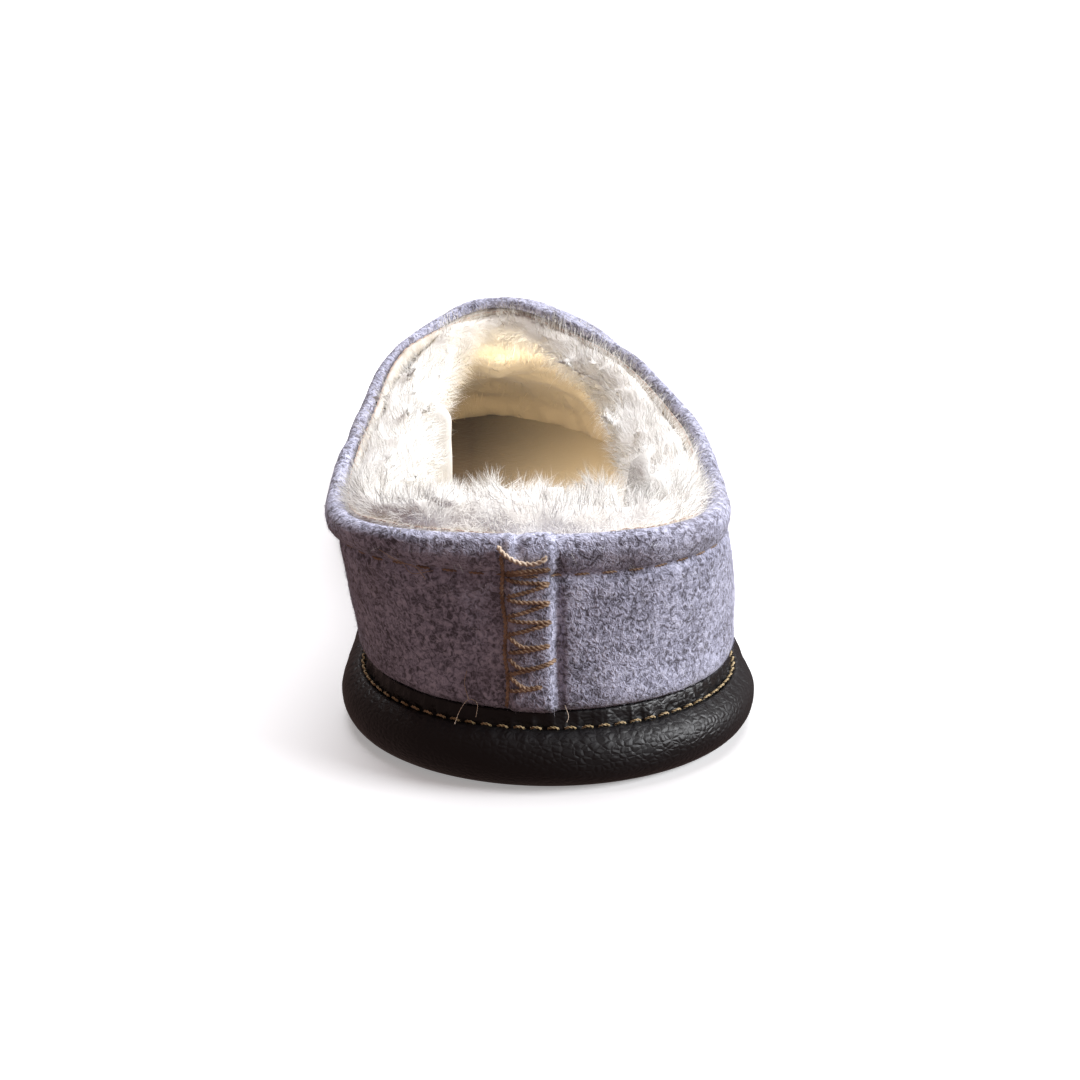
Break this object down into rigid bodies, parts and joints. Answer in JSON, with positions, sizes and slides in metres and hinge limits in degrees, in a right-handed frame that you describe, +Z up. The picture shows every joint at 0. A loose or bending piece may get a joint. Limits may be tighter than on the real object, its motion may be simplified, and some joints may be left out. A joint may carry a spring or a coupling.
{
  "type": "slipper",
  "caption": "Right felt slipper with a turned collar, lapped back seam, deep pile lining and a padded leather sole joined by a leather rand.",
  "frame": {"origin": "on the floor, under the middle of the sole's plan", "axes": "+Z up, +Y from heel to toe, +X towards the outer side of the right foot"},
  "size_m": [0.1014, 0.264, 0.0768],
  "materials": {
    "felt": "matt wool felt, mottled lavender grey",
    "pile": "deep white pile",
    "binding": "woven cream edge",
    "insole": "cream pile insole",
    "rand_leather": "gathered black leather",
    "sole_leather": "pebbled black leather, satin"
  },
  "bodies": {
    "root": {"felt_upper": "felt", "fur_lining": "pile", "collar_binding": "binding", "insole": "insole", "leather_rand": "rand_leather", "padded_sole": "sole_leather"}
  },
  "joints": []
}
